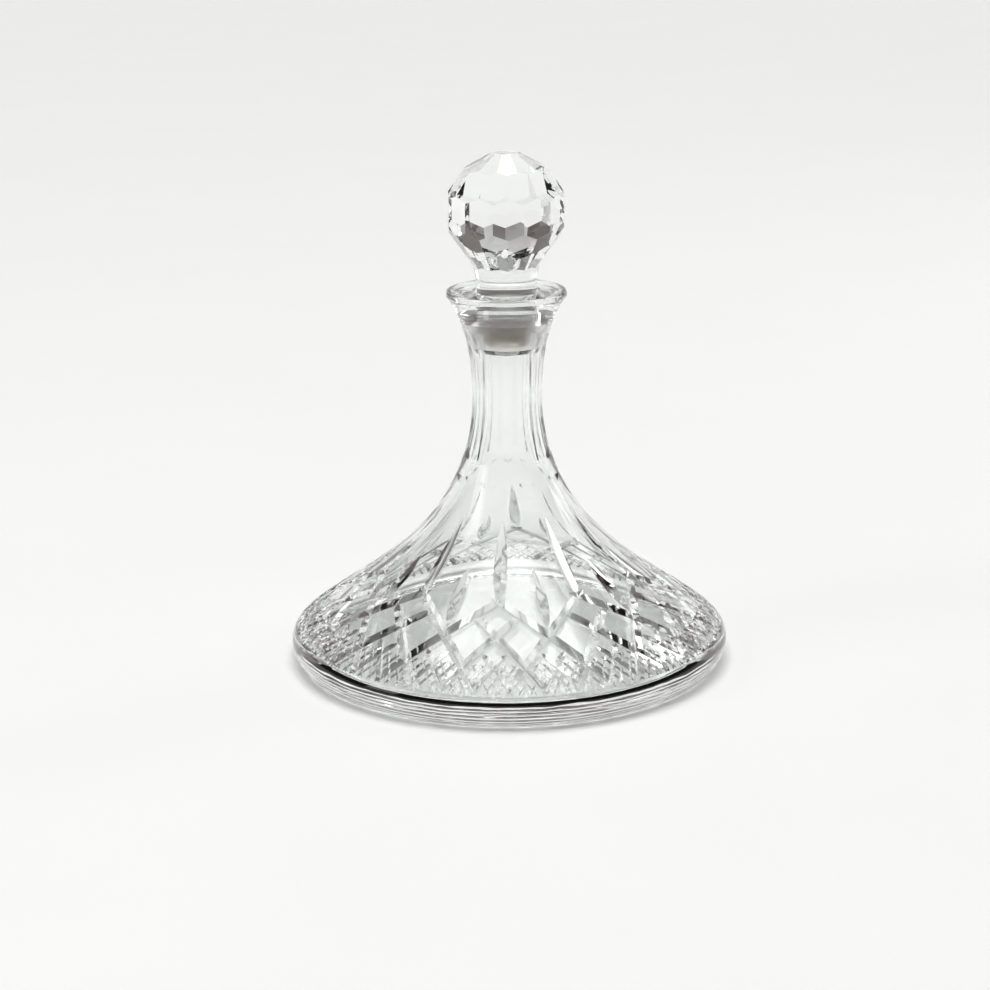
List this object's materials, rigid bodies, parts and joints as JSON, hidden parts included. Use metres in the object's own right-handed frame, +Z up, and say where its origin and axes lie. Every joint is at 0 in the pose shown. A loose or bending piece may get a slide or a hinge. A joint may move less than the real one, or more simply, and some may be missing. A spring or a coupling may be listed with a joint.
{
  "type": "stoppered decanter",
  "caption": "Wide-footed cut crystal decanter with a fluted neck, a lozenge-cut shoulder and a faceted ball stopper that lifts out.",
  "frame": {"origin": "on the table, under the middle of the foot", "axes": "+Z up along the axis of the vessel; -Y is the front; the pattern and the flutes repeat about Z"},
  "size_m": [0.1999, 0.2, 0.2315],
  "materials": {
    "vessel_crystal": "fire-polished clear lead crystal with polished wheel cuts",
    "stopper_crystal": "polished flat facets, fine-ground peg"
  },
  "bodies": {
    "vessel": {"decanter_body": "vessel_crystal"},
    "stopper": {"stopper": "stopper_crystal"}
  },
  "joints": [
    {"name": "stopper_lift", "type": "slide", "parent": "vessel", "child": "stopper", "axis": [0, 0, 1], "range_m": [0, 0.05]}
  ]
}
